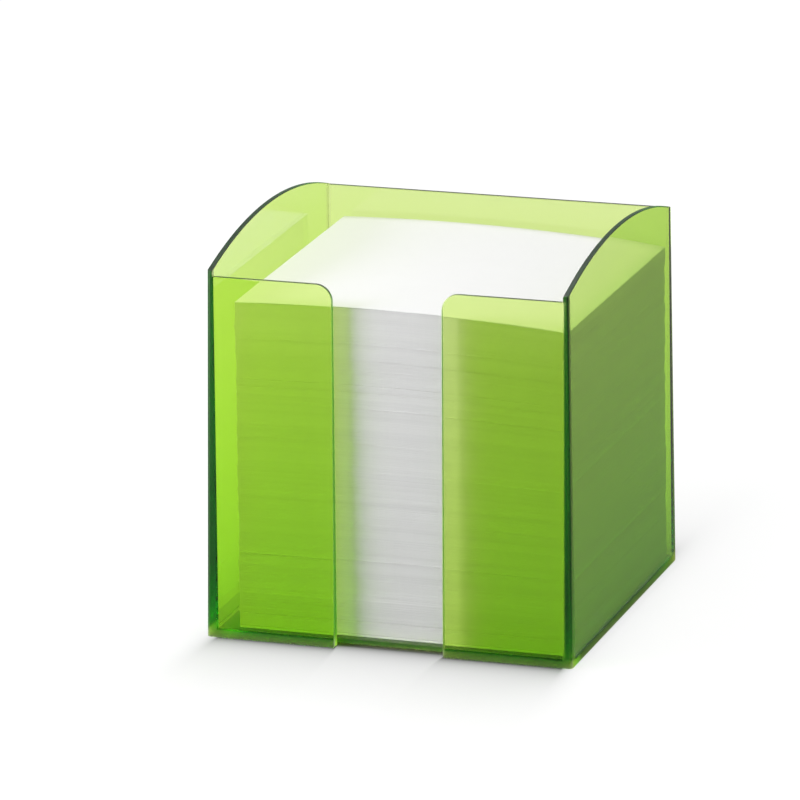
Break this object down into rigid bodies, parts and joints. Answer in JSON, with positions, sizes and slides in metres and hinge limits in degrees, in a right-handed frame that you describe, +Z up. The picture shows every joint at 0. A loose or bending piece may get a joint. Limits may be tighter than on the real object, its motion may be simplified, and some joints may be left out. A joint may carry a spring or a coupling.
{
  "type": "memo box",
  "caption": "Open-topped clear tinted box for square paper slips, with arched side walls and a full-height finger slot in the front, holding a stack of loose slips.",
  "frame": {"origin": "middle of the base, on the surface that the box stands on", "axes": "+Z up, -Y towards the front with the finger slot, +X to the right as seen from the front"},
  "size_m": [0.101, 0.101, 0.1073],
  "materials": {
    "tinted_plastic": "clear lime green, polished",
    "paper": "matt white, uncoated"
  },
  "bodies": {
    "box": {"box_shell": "tinted_plastic"},
    "lower_slips": {"slips_01": "paper", "slips_02": "paper", "slips_03": "paper", "slips_04": "paper", "slips_05": "paper", "slips_06": "paper", "slips_07": "paper", "slips_08": "paper", "slips_09": "paper", "slips_10": "paper", "slips_11": "paper", "slips_12": "paper", "slips_13": "paper", "slips_14": "paper", "slips_15": "paper", "slips_16": "paper", "slips_17": "paper", "slips_18": "paper", "slips_19": "paper", "slips_20": "paper", "slips_21": "paper", "slips_22": "paper", "slips_23": "paper", "slips_24": "paper", "slips_25": "paper", "slips_26": "paper", "slips_27": "paper"},
    "upper_slips": {"slips_28": "paper", "slips_29": "paper", "slips_30": "paper", "slips_31": "paper", "slips_32": "paper"},
    "top_slip": {"top_slip": "paper"}
  },
  "joints": [
    {"name": "refill_lift", "type": "slide", "parent": "box", "child": "lower_slips", "axis": [0, 0, 1], "range_m": [0, 0.11]},
    {"name": "upper_slips_lift", "type": "slide", "parent": "lower_slips", "child": "upper_slips", "axis": [0, 0, 1], "range_m": [0, 0.035]},
    {"name": "top_slip_lift", "type": "slide", "parent": "upper_slips", "child": "top_slip", "axis": [0, 0, 1], "range_m": [0, 0.02]}
  ]
}
